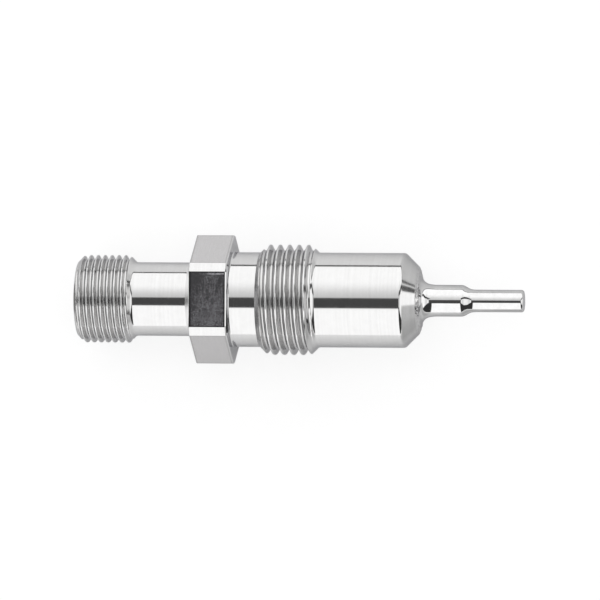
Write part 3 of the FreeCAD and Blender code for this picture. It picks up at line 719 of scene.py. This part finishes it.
# ------------------------------------------------------------------ studio tent
world = bpy.data.worlds.new("studio_tent")
bpy.context.scene.world = world
world.use_nodes = True
n = Nodes(world.node_tree)
tc = n.new("ShaderNodeTexCoord")
dx, dy, dz = n.xyz(tc.outputs["Generated"])
WHITE, GAP = 1.47, 0.085
DEG = 180.0 / math.pi
ang = n.math("MULTIPLY", n.math("ARCTAN2", dy, dz), DEG)      # tilt towards +Y, degrees from overhead
az = n.math("MULTIPLY", n.math("ARCTAN2", dy, dx), DEG)       # compass angle from +X
el = n.math("MULTIPLY", n.math("ARCSINE", dz), DEG)           # height over the horizon


def window(value, lo, hi, soft_lo, soft_hi=None):
    soft_hi = soft_lo if soft_hi is None else soft_hi
    return n.math("MULTIPLY", n.ramp(value, lo - soft_lo, lo + soft_lo), n.ramp(value, hi - soft_hi, hi + soft_hi, 1.0, 0.0))


def both(*masks):
    m = masks[0]
    for k in masks[1:]:
        m = n.math("MULTIPLY", m, k)
    return m


# long opening overhead, along X
gap = both(window(ang, -20.0, 5.2, 1.5, 1.5), window(dx, -0.86, 0.235, 0.03, 0.03), n.ramp(dz, 0.0, 0.05))
# the cloth near the opening is a little dimmer on its +Y side
dim = both(n.ramp(ang, 5.0, 48.0, 0.42, 0.0), n.ramp(ang, 3.0, 5.0), n.ramp(dx, 0.3, 0.6, 1.0, 0.0))
# and the card at +X is dimmer towards its top
top = both(window(dx, 0.35, 0.75, 0.08, 0.15), window(ang, -60.0, 45.0, 15.0, 20.0), n.ramp(dz, 0.1, 0.3, 0.0, 0.3))
# front corner of the tent stands open, up to the edge of the white card at +X
edge = n.math("ADD", dy, n.math("ADD", n.math("MULTIPLY", dx, 0.53), n.math("MULTIPLY", dz, 0.16)))
corner_open = both(n.ramp(edge, -0.02, 0.02, 1.0, 0.0), n.ramp(dx, 0.05, 0.09), n.ramp(dz, -0.04, 0.02), n.ramp(dy, -0.02, 0.02, 1.0, 0.0))
# seam on the other side of the card
mid = n.math("ADD", n.ramp(el, 4.0, 9.5, 17.0, 23.3), n.ramp(el, 35.0, 80.0, 0.0, 20.0))
off = n.math("MULTIPLY", n.math("ABSOLUTE", n.math("SUBTRACT", az, mid)), n.math("COSINE", n.math("DIVIDE", el, DEG)))
seam = both(n.ramp(n.math("SUBTRACT", off, n.ramp(el, 12.0, 30.0, 0.0, 1.2)), 3.8, 5.5, 1.0, 0.0), window(el, -0.8, 73.0, 1.0, 3.0))
# low dark edge beside the card, and the far edges of the floor sheet
low = both(window(az, -50.0, -7.5, 1.5), window(el, -9.0, 7.5, 0.5, 0.6))
rim = both(n.ramp(dz, 0.004, 0.010, 1.0, 0.0), n.ramp(dy, 0.33, 0.44))
back = both(n.ramp(dz, 0.05, 0.09, 1.0, 0.0), n.ramp(dx, -0.80, -0.70, 1.0, 0.0))
dark = n.math("MAXIMUM", n.math("MAXIMUM", gap, corner_open), n.math("MAXIMUM", n.math("MAXIMUM", seam, rim), n.math("MAXIMUM", n.math("MULTIPLY", low, 0.56), n.math("MULTIPLY", back, 0.88))))
light = n.math("MULTIPLY", n.math("SUBTRACT", 1.0, n.math("MAXIMUM", dim, top)), WHITE)
level = n.math("ADD", n.math("MULTIPLY", light, n.math("SUBTRACT", 1.0, dark)), n.math("MULTIPLY", dark, n.ramp(corner_open, 0.0, 1.0, GAP, 0.045, smooth=False)))
lp = n.new("ShaderNodeLightPath")
seen = n.math("ADD", n.math("MULTIPLY", level, n.math("SUBTRACT", 1.0, lp.outputs["Is Camera Ray"])),
              n.math("MULTIPLY", lp.outputs["Is Camera Ray"], 1.06))
bg = n.new("ShaderNodeBackground")
bg.inputs["Color"].default_value = (1.0, 1.0, 1.0, 1.0)
n.put(bg.inputs["Strength"], seen)
wo = n.new("ShaderNodeOutputWorld")
n.t.links.new(bg.outputs[0], wo.inputs["Surface"])

# soft lamp for the floor sheet; the steel doesn't mirror it
lamp_data = bpy.data.lights.new("floor_fill", "AREA")
lamp_data.shape = "SQUARE"
lamp_data.size = 1.2
lamp_data.energy = 6.0
lamp = bpy.data.objects.new("floor_fill", lamp_data)
lamp.location = (0.0, 0.0, 1.2)
lamp.visible_glossy = False
lamp.visible_camera = False
bpy.context.scene.collection.objects.link(lamp)

# ------------------------------------------------------------------ camera
THETA, DIST, ROLL, FOCAL_PX = math.radians(8.22), 1572.8, math.radians(0.333), 8281.9
look = Vector((1.868, -0.026, 0.0))
c = Vector((math.sin(THETA), 0, math.cos(THETA)))
right0, up0 = Vector((math.cos(THETA), 0, -math.sin(THETA))), Vector((0, 1, 0))
right = right0 * math.cos(ROLL) + up0 * math.sin(ROLL)
up = up0 * math.cos(ROLL) - right0 * math.sin(ROLL)
cam_data = bpy.data.cameras.new("camera")
cam_data.sensor_width = 36.0
cam_data.lens = FOCAL_PX * 36.0 / 600.0
cam_data.clip_start, cam_data.clip_end = 0.1, 10.0
cam = bpy.data.objects.new("camera", cam_data)
bpy.context.scene.collection.objects.link(cam)
place = (look + c * DIST) * MM
cam.matrix_world = Matrix(((right.x, up.x, c.x, place.x), (right.y, up.y, c.y, place.y), (right.z, up.z, c.z, place.z), (0, 0, 0, 1)))
bpy.context.scene.camera = cam
bpy.context.scene.view_settings.view_transform = "Standard"
bpy.context.scene.view_settings.look = "None"
